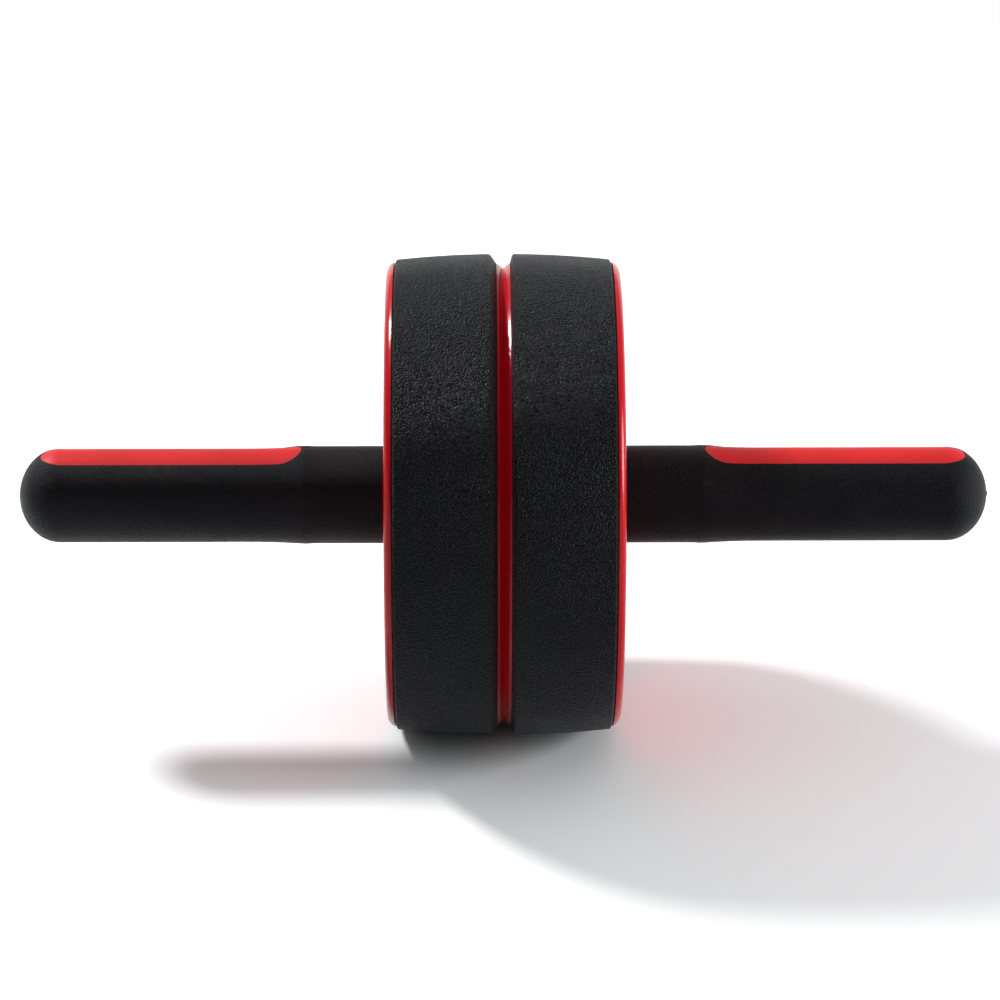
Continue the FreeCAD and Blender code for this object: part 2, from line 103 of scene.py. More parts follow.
class TreadSettings(PropertyGroup):
    """Sizes and finish of the two soft treads."""

    crown_radius: length("Crown radius", "Radius of the wheel in the middle of its crown", 90.0 * MM)
    crown_arc: length("Crown arc", "Radius of the gentle arc across both treads", 375.0 * MM)
    inner_x: length("Inner edge", "Distance of the groove side from the middle of the wheel", TREAD_LOW.x)
    outer_x: length("Outer edge", "Distance of the rim side from the middle of the wheel", TREAD_HIGH.x)
    drum_radius: length("Drum radius", "Radius of the drum that carries the tread", 83.0 * MM)
    wall_foot: length("Wall foot", "Radius where the groove-side wall leaves the groove", 86.4 * MM)
    right_corner: length("Right corner", "Where the right tread's face ends beside the groove", 3.6 * MM)
    right_rounding: length("Right rounding", "Rounding of the right tread's edge beside the groove", 1.1 * MM)
    left_corner: length("Left corner", "Where the left tread's face ends beside the groove", 5.0 * MM)
    left_rounding: length("Left rounding", "Rounding of the left tread's edge beside the groove", 1.6 * MM)
    bevel_width: length("Bevel width", "Width of the bevel beside the rim", 1.1 * MM)
    bevel_foot: length("Bevel foot", "Radius at the foot of the bevel", 86.5 * MM)
    outer_rounding: length("Outer rounding", "Rounding at the top of the bevel", 0.45 * MM)
    rim_gap: length("Rim gap", "Fine gap between tread and rim", 0.3 * MM)
    key_depth: length("Key depth", "Depth of the keys in the drum", 1.5 * MM)
    key_width: length("Key width", "Width of the keys in the drum", 4.0 * MM)
    foot_rounding: length("Foot rounding", "Rounding at the foot of the bevel", 0.3 * MM)
    segments: count("Segments", "Steps round the wheel", 360)
    face_steps: count("Face steps", "Steps across the face of a tread", 42)
    rubber: colour("Rubber", "Colour of the treads", (0.0050, 0.0051, 0.0056))
    pebbles: amount("Pebbles", "Pebbles of the grain along a metre", 1500.0)
    pebble_height: length("Pebble height", "Height of the grain from one pebble's middle to the next", 0.8 * MM)
    smoothest: factor("Smoothest", "Roughness of the smoothest patches", 0.36)
    roughest: factor("Roughest", "Roughness of the roughest patches", 0.46)
    gloss: factor("Gloss", "Level of the gloss, where 0.5 is hard plastic", 0.13)


class GripSettings(PropertyGroup):
    """Sizes and finish of the soft grips."""

    inner_x: length("Inner end", "Distance of the sleeve's inner end from the middle", SLEEVE_LOW.x)
    tip_x: length("Tip", "Distance of the domed tip from the middle", SLEEVE_HIGH.x)
    radius: length("Barrel radius", "Radius of the straight barrel", 17.67 * MM)
    neck_step: length("Neck step", "How much thicker the neck is, in radius", 0.55 * MM)
    ridge_step: length("Ridge step", "How far the ridge stands above the neck", 0.2 * MM)
    ridge_x: length("Ridge", "Distance of the ridge from the middle", 74.2 * MM)
    ridge_run: length("Ridge run", "Length of the rise to the ridge", 3.5 * MM)
    flare_length: length("Flare length", "Length of the flare between ridge and barrel", 21.0 * MM)
    dome_length: length("Dome length", "Length of the domed end", 15.3 * MM)
    end_rounding: length("End rounding", "Rounding of the inner end", 1.0 * MM)
    bore_radius: length("Bore radius", "Radius of the core under the sleeve", 13.22 * MM)
    bore_end_x: length("Bore end", "Distance of the bore's closed end from the middle", 166.3 * MM)
    lip_rounding: length("Lip rounding", "Rounding of the pocket's lip", 0.2 * MM)
    seam_height: length("Seam height", "Height of the moulding seam along both sides", 0.05 * MM)
    seam_angle: angle("Seam width", "Half-width of the moulding seam, seen from the axle", 0.9)
    nib_height: length("Nib height", "Height of the gate mark on the right tip", 0.45 * MM)
    nib_radius: length("Nib radius", "Radius of the gate mark on the right tip", 1.1 * MM)
    rubber: colour("Rubber", "Colour of the grips", (0.0050, 0.0050, 0.0055))
    pebbles: amount("Pebbles", "Pebbles of the grain along a metre", 2400.0)
    pebble_height: length("Pebble height", "Height of the grain from one pebble's middle to the next", 0.25 * MM)
    smoothest: factor("Smoothest", "Roughness of the smoothest patches", 0.44)
    roughest: factor("Roughest", "Roughness of the roughest patches", 0.56)
    gloss: factor("Gloss", "Level of the gloss, where 0.5 is hard plastic", 0.13)


class InsertSettings(PropertyGroup):
    """Sizes and finish of the red strips along the top of the grips."""

    half_width: length("Half width", "Half the width of the strip", INSERT_HIGH.y)
    apex_x: length("Apex", "Distance of the inner round end from the middle", INSERT_LOW.x)
    tip_x: length("Tip", "Distance of the outer round end from the middle", INSERT_HIGH.x)
    thickness: length("Thickness", "Thickness of the strip", 2.1 * MM)
    recess: length("Recess", "How far the strip lies below the grip round it", 0.3 * MM)
    gap: length("Gap", "Fine gap round the strip", 0.12 * MM)
    edge_rounding: length("Edge rounding", "Rounding of the strip's edge", 0.2 * MM)
    rubber: colour("Rubber", "Colour of the strips", (0.76, 0.024, 0.026))


class WheelSettings(PropertyGroup):
    """Finish of the two wheel halves and of what is hidden in the hub."""

    plastic: colour("Plastic", "Colour of the glossy wheel halves", (0.60, 0.0018, 0.0100))
    core: colour("Core plastic", "Colour of the grips' hard cores", (0.012, 0.012, 0.013))
    bush: colour("Bush plastic", "Colour of the bushes", (0.62, 0.60, 0.54))
    steel: colour("Steel", "Colour of the axle tube", (0.55, 0.56, 0.58))
    zinc: colour("Zinc", "Colour of the plated screws and washers", (0.50, 0.51, 0.54))


class StageSettings(PropertyGroup):
    """Floor, lights and camera."""

    floor_z: length("Floor", "Height of the floor", TREAD_LOW.z)
    floor_reach: length("Floor reach", "Radius of the level floor", 6.0)
    floor_rise: length("Floor rise", "Height that the floor climbs to at its edge", 1.6)
    shadow_reach: length("Shadow reach", "Radius of the floor that keeps the shadow", 0.5)
    floor_tone: amount("Floor tone", "How pale the floor looks", 1.2)
    floor_bounce: factor("Floor bounce", "How much light the floor throws back", 0.4)
    distance: length("Camera distance", "From the camera to the wheel", 1.58)
    elevation: angle("Camera elevation", "Angle of the camera above the horizon", 20.8)
    swing: angle("Camera swing", "Angle of the camera towards the left grip", 0.37)
    aim_x: length("Aim along", "Where the camera aims, along the axle", -1.25 * MM)
    aim_z: length("Aim up", "Where the camera aims, up from the axle", -2.3 * MM)
    lens: FloatProperty(name="Lens", description="Focal length of the camera", default=151.7, unit="CAMERA")
    key_azimuth: angle("Key azimuth", "Where the key light stands, round from the right-hand grip", 144.0)
    key_elevation: angle("Key elevation", "Height of the key light above the horizon", 46.0)
    key_distance: length("Key distance", "From the key light to the foot of the wheel", 1.3)
    key_size: length("Key size", "Width of the key light", 0.22)
    key_strength: amount("Key strength", "Light from the key at the wheel, in watts per square metre", 2.3)
    fill_azimuth: angle("Fill azimuth", "Where the fill light stands, round from the right-hand grip", -3.0)
    fill_elevation: angle("Fill elevation", "Height of the fill light above the horizon", 15.0)
    fill_distance: length("Fill distance", "From the fill light to the foot of the wheel", 2.2)
    fill_size: length("Fill size", "Width of the fill light", 0.9)
    fill_strength: amount("Fill strength", "Light from the fill at the wheel, in watts per square metre", 2.5)
    sky_high: amount("Bright sky", "Strength of the sky above and behind", 0.54)
    sky_low: amount("Dim sky", "Strength of the sky in front", 0.08)


class AbWheelSettings(PropertyGroup):
    """All settings of the roller."""

    treads: PointerProperty(type=TreadSettings, name="Treads", description="Sizes and finish of the treads")
    grips: PointerProperty(type=GripSettings, name="Grips", description="Sizes and finish of the grips")
    inserts: PointerProperty(type=InsertSettings, name="Inserts", description="Sizes and finish of the inserts")
    wheel: PointerProperty(type=WheelSettings, name="Wheel", description="Finish of wheel, hub and axle")
    stage: PointerProperty(type=StageSettings, name="Stage", description="Floor, lights and camera")


# Meshes


def quads(rows, columns):
    """Corner numbers of the quads between neighbours of a grid of points."""
    index = np.arange(rows * columns).reshape(rows, columns)
    return np.stack([index[:-1, :-1], index[1:, :-1], index[1:, 1:], index[:-1, 1:]], -1).reshape(-1, 4)


def closed_mesh(name, grid, sharp):
    """Mesh of a closed surface from one grid of points (rows, columns, 3).

    Points that coincide become one vertex, which closes seams and poles. Each quad is cut into two triangles, those
    without area are left out, and all are turned round if the enclosed volume comes out negative. Edges sharper than
    the angle stay sharp."""
    points = np.asarray(grid, float)
    corners = quads(*points.shape[:2])
    points = points.reshape(-1, 3)
    keys = np.round(points / WELD).astype(np.int64)
    keys, first, index = np.unique(keys, axis=0, return_index=True, return_inverse=True)
    points = points[first]
    corners = index.reshape(-1)[corners]
    faces = np.concatenate([corners[:, [0, 1, 2]], corners[:, [0, 2, 3]]])
    a, b, c = (points[faces[:, i]] for i in range(3))
    normals = np.cross(b - a, c - a)
    faces = faces[(normals**2).sum(1) > NO_AREA**2]
    a, b, c = (points[faces[:, i]] for i in range(3))
    if np.einsum("ij,ij->", a, np.cross(b, c)) < 0:
        faces = faces[:, ::-1]
    mesh = bpy.data.meshes.new(name)
    mesh.from_pydata(points, [], faces)
    mesh.validate()
    mesh.shade_smooth()
    mesh.set_sharp_from_angle(angle=sharp)
    return mesh


def turned(profile, segments):
    """Grid of a surface of revolution: each point (x, r) of the profile swept round the axle."""
    around = np.linspace(0.0, 2 * math.pi, segments + 1)
    x = np.repeat(profile[:, :1], segments + 1, axis=1)
    return np.stack([x, profile[:, 1:] * np.sin(around), profile[:, 1:] * np.cos(around)], -1)


def fillet(before, corner, after, radius, steps):
    """Points of the arc of that radius which rounds the corner between two neighbours."""
    before, corner, after = (np.array(p, float) for p in (before, corner, after))
    u = (before - corner) / np.linalg.norm(before - corner)
    v = (after - corner) / np.linalg.norm(after - corner)
    half = math.acos(np.clip(u @ v, -1.0, 1.0)) / 2
    middle = (u + v) / np.linalg.norm(u + v)
    centre = corner + middle * radius / math.sin(half)
    across = u - middle * (u @ middle)
    across /= np.linalg.norm(across)
    sweep = np.linspace(QUARTER - half, half - QUARTER, steps)[:, None]
    return centre + radius * (across * np.sin(sweep) - middle * np.cos(sweep))


def to_left(grid):
    """The same points turned half round about Z."""
    return grid * np.array([-1.0, -1.0, 1.0])


def add_piece(name, mesh, material, body, slot, *nodes):
    """Object at the origin that rides on a body and stands for CAD nodes."""
    piece = bpy.data.objects.new(name, mesh)
    bpy.context.scene.collection.objects.link(piece)
    mesh.materials.append(material)
    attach(piece, body)
    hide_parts(*nodes)
    return piece


def dress(material, *nodes):
    """Give CAD nodes a finish."""
    for node in nodes:
        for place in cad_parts[node].material_slots:
            place.material = material


# Finishes

SPREAD = (0.3, 0.7)  # of a noise, within which a tint or roughness goes from its low to its high
COOL = (0.88, 0.90, 1.0, 1.0)  # of the gloss on black rubber


class Finish:
    """Material on a Principled shader, with short ways to add and join its nodes."""

    def __init__(self, name):
        self.material = bpy.data.materials.new(name)
        self.material.use_nodes = True
        self.tree = self.material.node_tree
        self.shader = self.tree.nodes["Principled BSDF"]
        self.place = self.add("ShaderNodeTexCoord").outputs["Object"]

    def add(self, kind, **values):
        """Node with some of its sockets or settings given."""
        node = self.tree.nodes.new(kind)
        for key, value in values.items():
            socket = node.inputs.get(key.replace("_", " ").title())
            if socket is None:
                setattr(node, key, value)
            else:
                socket.default_value = value
        return node

    def join(self, output, socket):
        """Link from an output to a socket."""
        self.tree.links.new(output, socket)

    def noise(self, scale, detail=2.0, place=None):
        """Value of a noise of so many lumps per metre."""
        node = self.add("ShaderNodeTexNoise", scale=scale, detail=detail)
        self.join(place or self.place, node.inputs["Vector"])
        return node.outputs["Fac"]

    def cells(self, scale, smoothness=0.6):
        """Distance to the middle of the nearest of so many rounded cells per metre."""
        node = self.add("ShaderNodeTexVoronoi", feature="SMOOTH_F1", scale=scale, smoothness=smoothness)
        self.join(self.place, node.inputs["Vector"])
        return node.outputs["Distance"]

    def stretched(self, scale):
        """Place with each axis scaled by its own factor."""
        node = self.add("ShaderNodeMapping", scale=scale)
        self.join(self.place, node.inputs["Vector"])
        return node.outputs["Vector"]

    def sum(self, first, second, share):
        """First value plus a share of the second."""
        node = self.add("ShaderNodeMath", operation="MULTIPLY_ADD")
        self.join(second, node.inputs[0])
        node.inputs[1].default_value = share
        self.join(first, node.inputs[2])
        return node.outputs[0]

    def tint(self, value, low, high):
        """Base colour that goes from low to high with a value."""
        ramp = self.add("ShaderNodeValToRGB")
        for stop, place, tone in zip(ramp.color_ramp.elements, SPREAD, (low, high)):
            stop.position = place
            stop.color = tone
        self.join(value, ramp.inputs["Fac"])
        self.join(ramp.outputs["Color"], self.shader.inputs["Base Color"])

    def roughen(self, value, low, high):
        """Roughness that goes from low to high with a value."""
        spread = self.add("ShaderNodeMapRange", from_min=SPREAD[0], from_max=SPREAD[1], to_min=low, to_max=high)
        self.join(value, spread.inputs["Value"])
        self.join(spread.outputs["Result"], self.shader.inputs["Roughness"])

    def bump(self, height, strength, distance, invert=False):
        """Relief of that height in metres, or as deep where it is inverted."""
        node = self.add("ShaderNodeBump", strength=strength, distance=distance, invert=invert)
        self.join(height, node.inputs["Height"])
        self.join(node.outputs["Normal"], self.shader.inputs["Normal"])

    def set(self, **values):
        """Constant values on the shader itself."""
        for key, value in values.items():
            self.shader.inputs[key.replace("_", " ")].default_value = value


def shade(tone, factor):
    """Colour made darker or lighter."""
    return (*(min(1.0, channel * factor) for channel in tone[:3]), 1.0)


def grained_rubber(name, s):
    """Soft black rubber with a pebble grain: rounded cells, paler on top as painted glints and darker between as
    painted shade, a cloudy tone, with a cloudy gloss and a faint sheen.
    """
    finish = Finish(name)
    finish.roughen(finish.noise(35.0, detail=3.0), s.smoothest, s.roughest)
    pebbles = finish.cells(s.pebbles)
    cloud_and_painted_glint = finish.sum(pebbles, finish.noise(70.0, detail=3.0), share=0.3)
    # Painted glints and shade: the base colour is paler on each pebble's top and darker in the hollows between pebbles,
    # as light would make them; the added noise is a random cloudy tone
    finish.tint(cloud_and_painted_glint, shade(s.rubber, 2.4), shade(s.rubber, 0.3))
    finish.bump(pebbles, strength=1.0, distance=s.pebble_height, invert=True)
    finish.set(Specular_IOR_Level=s.gloss, Specular_Tint=COOL)
    finish.set(Sheen_Weight=0.1, Sheen_Roughness=0.35, Sheen_Tint=COOL)
    return finish.material


def glossy_red(name, tone):
    """Moulded glossy plastic: faint flow marks in the colour, a slight waviness and fine handling marks."""
    finish = Finish(name)
    finish.tint(finish.noise(18.0), shade(tone, 0.93), shade(tone, 1.06))
    finish.roughen(finish.noise(140.0, detail=4.0), low=0.16, high=0.22)
    finish.bump(finish.noise(260.0), strength=0.12, distance=0.04 * MM)
    finish.set(Specular_IOR_Level=0.2)
    return finish.material


def satin_red(name, tone):
    """Soft red rubber with a very fine grain."""
    finish = Finish(name)
    finish.tint(finish.noise(45.0, detail=3.0), shade(tone, 0.92), shade(tone, 1.07))
    finish.roughen(finish.noise(60.0, detail=3.0), low=0.42, high=0.52)
    grain = finish.sum(finish.noise(5000.0), finish.cells(2600.0), share=-1.0)
    finish.bump(grain, strength=0.5, distance=0.03 * MM)
    finish.set(Specular_IOR_Level=0.15)
    return finish.material


def moulded_plastic(name, tone, low, high):
    """Hard plastic with a fine eroded texture."""
    finish = Finish(name)
    finish.tint(finish.noise(90.0, detail=3.0), shade(tone, 0.9), shade(tone, 1.1))
    finish.roughen(finish.noise(120.0, detail=3.0), low, high)
    finish.bump(finish.noise(3500.0, detail=3.0), strength=0.4, distance=0.03 * MM)
    finish.set(Specular_IOR_Level=0.35)
    return finish.material


def drawn_steel(name, tone):
    """Steel with fine lines drawn along the axle."""
    finish = Finish(name)
    lines = finish.noise(1.0, detail=3.0, place=finish.stretched((30.0, 4200.0, 4200.0)))
    finish.tint(finish.noise(60.0, detail=3.0), shade(tone, 0.88), shade(tone, 1.08))
    finish.roughen(lines, low=0.22, high=0.38)
    finish.bump(lines, strength=0.25, distance=0.01 * MM)
    finish.set(Metallic=1.0)
    return finish.material


def zinc_plate(name, tone):
    """Bright zinc plate, slightly clouded."""
    finish = Finish(name)
    finish.tint(finish.noise(500.0, detail=4.0), shade(tone, 0.82), shade(tone, 1.1))
    finish.roughen(finish.noise(900.0, detail=3.0), low=0.24, high=0.42)
    finish.bump(finish.noise(2500.0, detail=3.0), strength=0.2, distance=0.01 * MM)
    finish.set(Metallic=1.0)
    return finish.material


# Treads

TREAD_CREASE = math.radians(40)


def tread_profile(s, corner_x, rounding):
    """Closed run of points (x, r) round the section of a tread.

    The crown is an arc about a centre below the axle: r = R - A + sqrt(A^2 - x^2). It meets a leaning wall beside the
    groove in one rounding and a bevel beside the rim in a smaller one. Square keys hang below the drum's radius."""

    def crown(x):
        return s.crown_radius - s.crown_arc + np.sqrt(s.crown_arc**2 - x**2)

    bevel_x = s.outer_x - s.bevel_width
    edge_x = s.outer_x - s.rim_gap
    wall_foot = (s.inner_x, s.wall_foot)
    corner, shoulder = (corner_x, crown(corner_x)), (bevel_x, crown(bevel_x))
    inner = fillet(wall_foot, corner, shoulder, rounding, steps=12)
    outer = fillet(corner, shoulder, (edge_x, s.bevel_foot), s.outer_rounding, steps=7)
    across = np.linspace(inner[-1, 0], outer[0, 0], s.face_steps)
    tilt = np.linspace(inner[-1, 1] - crown(across[0]), outer[0, 1] - crown(across[-1]), s.face_steps)
    face = np.stack([across, crown(across) + tilt], 1)[1:-1]
    foot = fillet(shoulder, (edge_x, s.bevel_foot), (edge_x, s.drum_radius), s.foot_rounding, steps=5)
    pitch = (s.outer_x - s.inner_x) / 2
    keys = []
    for middle in (s.inner_x + 1.5 * pitch, s.inner_x + 0.5 * pitch):
        near, far = middle - s.key_width / 2, middle + s.key_width / 2
        floor = s.drum_radius - s.key_depth
        keys += [(far, s.drum_radius), (far, floor), (near, floor), (near, s.drum_radius)]
    start = [(s.inner_x, s.drum_radius), wall_foot]
    end = [(edge_x, s.drum_radius)]
    return np.concatenate([start, inner, face, outer, foot, end, keys, start[:1]])


class ABWHEEL_OT_treads(Operator):
    """Make the two soft treads: a profile swept round the axle, with a pebble grain"""

    bl_idname = "abwheel.treads"
    bl_label = "Treads"

    def execute(self, context):
        s = context.scene.ab_wheel.treads
        rubber = grained_rubber("tread_rubber", s)
        edges = {"right": (s.right_corner, s.right_rounding), "left": (s.left_corner, s.left_rounding)}
        for side, edge in edges.items():
            grid = turned(tread_profile(s, *edge), s.segments)
            mesh = closed_mesh(side + "_grained_tread", grid if side == "right" else to_left(grid), TREAD_CREASE)
            add_piece(mesh.name, mesh, rubber, "wheel", "tread_rubber", side + "_tread")
        return {"FINISHED"}


# Grips and inserts

GRIP_CREASE = math.radians(35)
RIDGE_WINDOW = 1.2 * MM  # half-width of the running mean that rounds the ridge
RIDGE_LEAD = 5.0 * MM  # from the end of the plain neck to the ridge
SEAM_STEPS = (0.0, 0.25, 0.5, 0.8, 1.2, 1.8, 3.0)  # degrees from the middle of the moulding seam
SEAM_CLEARANCE = 0.05  # radians that the pocket's lip keeps above the seam
EDGE_SHARE = 0.4  # of the half-width, which a rounded edge takes at most
LEFT_NIB = 0.25  # height of the left gate mark as a share of the right one's

# Points along the grip: inner end, neck, ridge, an end of the insert, the straight run between, dome
END_STEPS, NECK_STEPS, RIDGE_STEPS, TURN_STEPS, STRAIGHT_STEPS, DOME_STEPS = 7, 8, 15, 31, 40, 34

# Points round half the section: each way from the seam, the pocket's lip, its floor, the insert's top and its edge
SIDE_STEPS, LIP_STEPS, BED_STEPS, TOP_STEPS, EDGE_STEPS = 40, 6, 9, 15, 7


def grip_radius(s, x):
    """Radius of the grip's outside at places along the axle.

    Neck, a smooth step up to the ridge, a flare that falls with the square of the distance left to the barrel, the
    barrel, and an ellipse for the dome. A short running mean rounds the ridge."""
    flare_end = s.ridge_x + s.flare_length
    dome_x = s.tip_x - s.dome_length
    height = s.neck_step + s.ridge_step

    def plain(x):
        rise = np.clip((x - s.ridge_x + s.ridge_run) / s.ridge_run, 0.0, 1.0)
        neck = s.radius + s.neck_step + s.ridge_step * rise * rise * (3 - 2 * rise)
        left = np.clip((flare_end - x) / s.flare_length, 0.0, 1.0)
        return np.where(x < s.ridge_x, neck, s.radius + height * left**2)

    window = np.linspace(-RIDGE_WINDOW, RIDGE_WINDOW, 13)
    body = plain(x[..., None] + window).mean(-1)
    dome = np.clip((x - dome_x) / s.dome_length, 0.0, 1.0)
    inner = np.clip((s.inner_x + s.end_rounding - x) / s.end_rounding, 0.0, 1.0)
    rounding = s.end_rounding * (1 - np.sqrt(np.clip(1 - inner**2, 0.0, 1.0)))
    return body * np.sqrt(1 - dome**2) - rounding


def lowered_radius(s, x, depth):
    """Radius of the grip's outside, lowered by a depth: the dome's ellipse is shorter by it too."""
    dome_x = s.tip_x - s.dome_length
    before = grip_radius(s, np.minimum(x, dome_x)) - depth
    dome = np.clip((x - dome_x) / (s.dome_length - depth), 0.0, 1.0)
    return before * np.sqrt(1 - dome**2)


def floor_radius(s, i, x):
    """Radius of the pocket's floor: barrel and dome, smaller by the pocket's depth."""
    depth = i.thickness + i.recess
    dome_x = s.tip_x - s.dome_length
    dome = np.clip((x - dome_x) / (s.dome_length - depth), 0.0, 1.0)
    return (s.radius - depth) * np.sqrt(1 - dome**2)


def plan_half_width(i, x, gap):
    """Half-width of the insert's plan, grown by a gap: straight between two half-round ends.

    It is sqrt(h^2 - d^2), where h is the straight part's half-width and d how far a place lies past that part."""
    half = i.half_width + gap
    inner = np.clip(i.apex_x - gap + half - x, 0.0, half)
    outer = np.clip(x - i.tip_x - gap + half, 0.0, half)
    return np.sqrt(half**2 - inner**2 - outer**2)


def pocket_stations(i, gap):
    """Places along the axle from the insert's inner end to its tip.

    They are evenly spaced on the straight part, and by one minus the cosine of even angles on the round ends."""
    half = i.half_width + gap
    turn = half * (1 - np.cos(np.linspace(0.0, QUARTER, TURN_STEPS)))
    inner = i.apex_x - gap + turn
    outer = i.tip_x + gap - turn[::-1]
    straight = np.linspace(inner[-1], outer[0], STRAIGHT_STEPS)[1:-1]
    return np.concatenate([inner, straight, outer])


def bend(start, corner, end, steps):
    """Points of the curve from start to end that leans on the corner: (1-t)^2, 2t(1-t) and t^2 of the three."""
    t = np.linspace(0.0, 1.0, steps)[None, :, None]
    return (1 - t) ** 2 * start[:, None] + 2 * t * (1 - t) * corner[:, None] + t**2 * end[:, None]


def pair(y, z):
    """Points (y, z) from two arrays."""
    return np.stack(np.broadcast_arrays(y, z), -1)


def sleeve_half(s, i, x, r, open_pocket):
    """One side of the sleeve's section at each place, from the bottom round the outside to the middle of the top.

    From the bottom up to the pocket's lip the points lie on a circle, on which the seam stands as a bell curve over the
    angle. Then come the rounded lip, the upright wall and the floor's own circle. Beyond the pocket's ends all these
    points fall on the top of the circle."""
    half = np.where(open_pocket, plan_half_width(i, x, i.gap), 0.0)
    lip = np.minimum(s.lip_rounding, half * EDGE_SHARE)
    floor = np.where(open_pocket, floor_radius(s, i, x), r)
    seam = np.radians(SEAM_STEPS)
    low = np.concatenate([np.linspace(math.pi, QUARTER + seam[-1], SIDE_STEPS)[:-1], QUARTER + seam[::-1]])
    low = np.repeat(low[None], len(x), axis=0)
    start = np.arcsin(np.clip((half + lip) / np.maximum(r, TINY), 0.0, 1.0))
    start = np.minimum(start, QUARTER - seam[-1] - SEAM_CLEARANCE)
    steps = np.linspace(0.0, 1.0, SIDE_STEPS)[1:]
    near = QUARTER - seam[1:]
    high = near[-1] + (start[:, None] - near[-1]) * steps
    around = np.concatenate([low, np.repeat(near[None], len(x), axis=0), high], axis=1)
    ridge = s.seam_height * np.exp(-(((around - QUARTER) / (s.seam_angle / 2)) ** 2))
    radius = r[:, None] + ridge * np.clip(r / s.radius, 0.0, 1.0)[:, None]
    outside = pair(radius * np.sin(around), radius * np.cos(around))
    top = np.sqrt(np.maximum(r**2 - half**2, 0.0))
    bottom = np.sqrt(np.maximum(floor**2 - half**2, 0.0))
    wall_top = np.maximum(top - lip, bottom)
    edge = bend(outside[:, -1], pair(half, top), pair(half, wall_top), LIP_STEPS)[:, 1:]
    wall = pair(half, bottom)[:, None]
    reach = np.arcsin(np.clip(half / np.maximum(floor, TINY), 0.0, 1.0))
    across = reach[:, None] * np.linspace(1.0, 0.0, BED_STEPS)[1:]
    ground = pair(floor[:, None] * np.sin(across), floor[:, None] * np.cos(across))
    return np.concatenate([outside, edge, wall, ground], axis=1)


def sleeve_grid(s, i, nib):
    """Grid of the right sleeve: rows along the axle, columns round it, closed by its bore and at the tip.

    The rows run up the bore's end, along the bore, round the inner end and along the outside to the tip. The gate mark
    there is a flat-topped hump, which falls off with the fourth power of the distance from the axle in its exponent."""
    dome_x = s.tip_x - s.dome_length
    inner = s.inner_x + s.end_rounding * (1 - np.cos(np.linspace(0.0, QUARTER, END_STEPS)))
    neck = np.linspace(inner[-1], s.ridge_x - RIDGE_LEAD, NECK_STEPS)[1:]
    ridge = np.linspace(neck[-1], i.apex_x - i.gap, RIDGE_STEPS)[1:]
    pocket = pocket_stations(i, i.gap)
    start = math.asin((i.tip_x + i.gap - dome_x) / s.dome_length)
    dome = dome_x + s.dome_length * np.sin(np.linspace(start, QUARTER, DOME_STEPS))
    x = np.concatenate([inner, neck, ridge, pocket, dome])
    open_pocket = np.zeros(len(x), bool)
    open_pocket[len(x) - len(dome) - len(pocket) : len(x) - len(dome)] = True
    r = grip_radius(s, x)
    r[-1] = 0.0
    side = sleeve_half(s, i, x, r, open_pocket)
    loop = np.concatenate([side, side[:, ::-1] * np.array([-1.0, 1.0])], axis=1)
    out = np.sqrt((loop**2).sum(-1))
    hump = nib * np.exp(-((out / s.nib_radius) ** 4)) * (x > dome_x)[:, None]
    outside = np.concatenate([(x[:, None] + hump)[..., None], loop], axis=-1)
    circle = loop[0] / out[0][:, None]
    bore = [
        np.concatenate([np.full((len(circle), 1), place), circle * size], axis=1)
        for place, size in ((s.bore_end_x, 0.0), (s.bore_end_x, s.bore_radius), (s.inner_x, s.bore_radius))
    ]
    return np.concatenate([np.stack(bore), outside])


def insert_grid(s, i):
    """Grid of the right insert: rows along the axle, columns round its section.

    The top lies on the grip's own circle, a little lowered, and the underside on the pocket floor's, joined by upright
    sides with a rounded upper edge."""
    x = pocket_stations(i, 0.0)
    half = plan_half_width(i, x, 0.0)
    r = lowered_radius(s, x, i.recess)
    floor = floor_radius(s, i, x)
    edge = np.minimum(i.edge_rounding, half * EDGE_SHARE)
    top = np.sqrt(r**2 - half**2)
    bottom = np.sqrt(floor**2 - half**2)
    across = np.arcsin((half - edge) / r)[:, None] * np.linspace(0.0, 1.0, TOP_STEPS)
    face = pair(r[:, None] * np.sin(across), r[:, None] * np.cos(across))
    wall_top = np.maximum(top - edge, bottom)
    rim = bend(face[:, -1], pair(half, top), pair(half, wall_top), EDGE_STEPS)[:, 1:]
    under = np.arcsin(half / floor)[:, None] * np.linspace(1.0, 0.0, BED_STEPS)
    base = pair(floor[:, None] * np.sin(under), floor[:, None] * np.cos(under))
    side = np.concatenate([face, rim, base], axis=1)
    loop = np.concatenate([side, side[:, ::-1] * np.array([-1.0, 1.0])], axis=1)
    return np.concatenate([np.repeat(x[:, None, None], loop.shape[1], axis=1), loop], axis=-1)


class ABWHEEL_OT_grips(Operator):
    """Make the two soft grips: a section carried along the axle, with the insert's pocket and a domed end"""

    bl_idname = "abwheel.grips"
    bl_label = "Grips"

    def execute(self, context):
        settings = context.scene.ab_wheel
        s = settings.grips
        rubber = grained_rubber("grip_rubber", s)
        for side, nib in (("right", s.nib_height), ("left", s.nib_height * LEFT_NIB)):
            grid = sleeve_grid(s, settings.inserts, nib)
            mesh = closed_mesh(side + "_soft_grip", grid if side == "right" else to_left(grid), GRIP_CREASE)
            add_piece(mesh.name, mesh, rubber, "handlebar", "grip_rubber", side + "_grip_sleeve")
        return {"FINISHED"}


class ABWHEEL_OT_inserts(Operator):
    """Make the two red strips let in along the top of the grips"""

    bl_idname = "abwheel.inserts"
    bl_label = "Inserts"

    def execute(self, context):
        settings = context.scene.ab_wheel
        red = satin_red("insert_red", settings.inserts.rubber)
        grid = insert_grid(settings.grips, settings.inserts)
        for side, points in (("right", grid), ("left", to_left(grid))):
            mesh = closed_mesh(side + "_red_insert", points, GRIP_CREASE)
            add_piece(mesh.name, mesh, red, "handlebar", "insert_rubber", side + "_grip_insert")
        return {"FINISHED"}


# Wheel, hub and axle


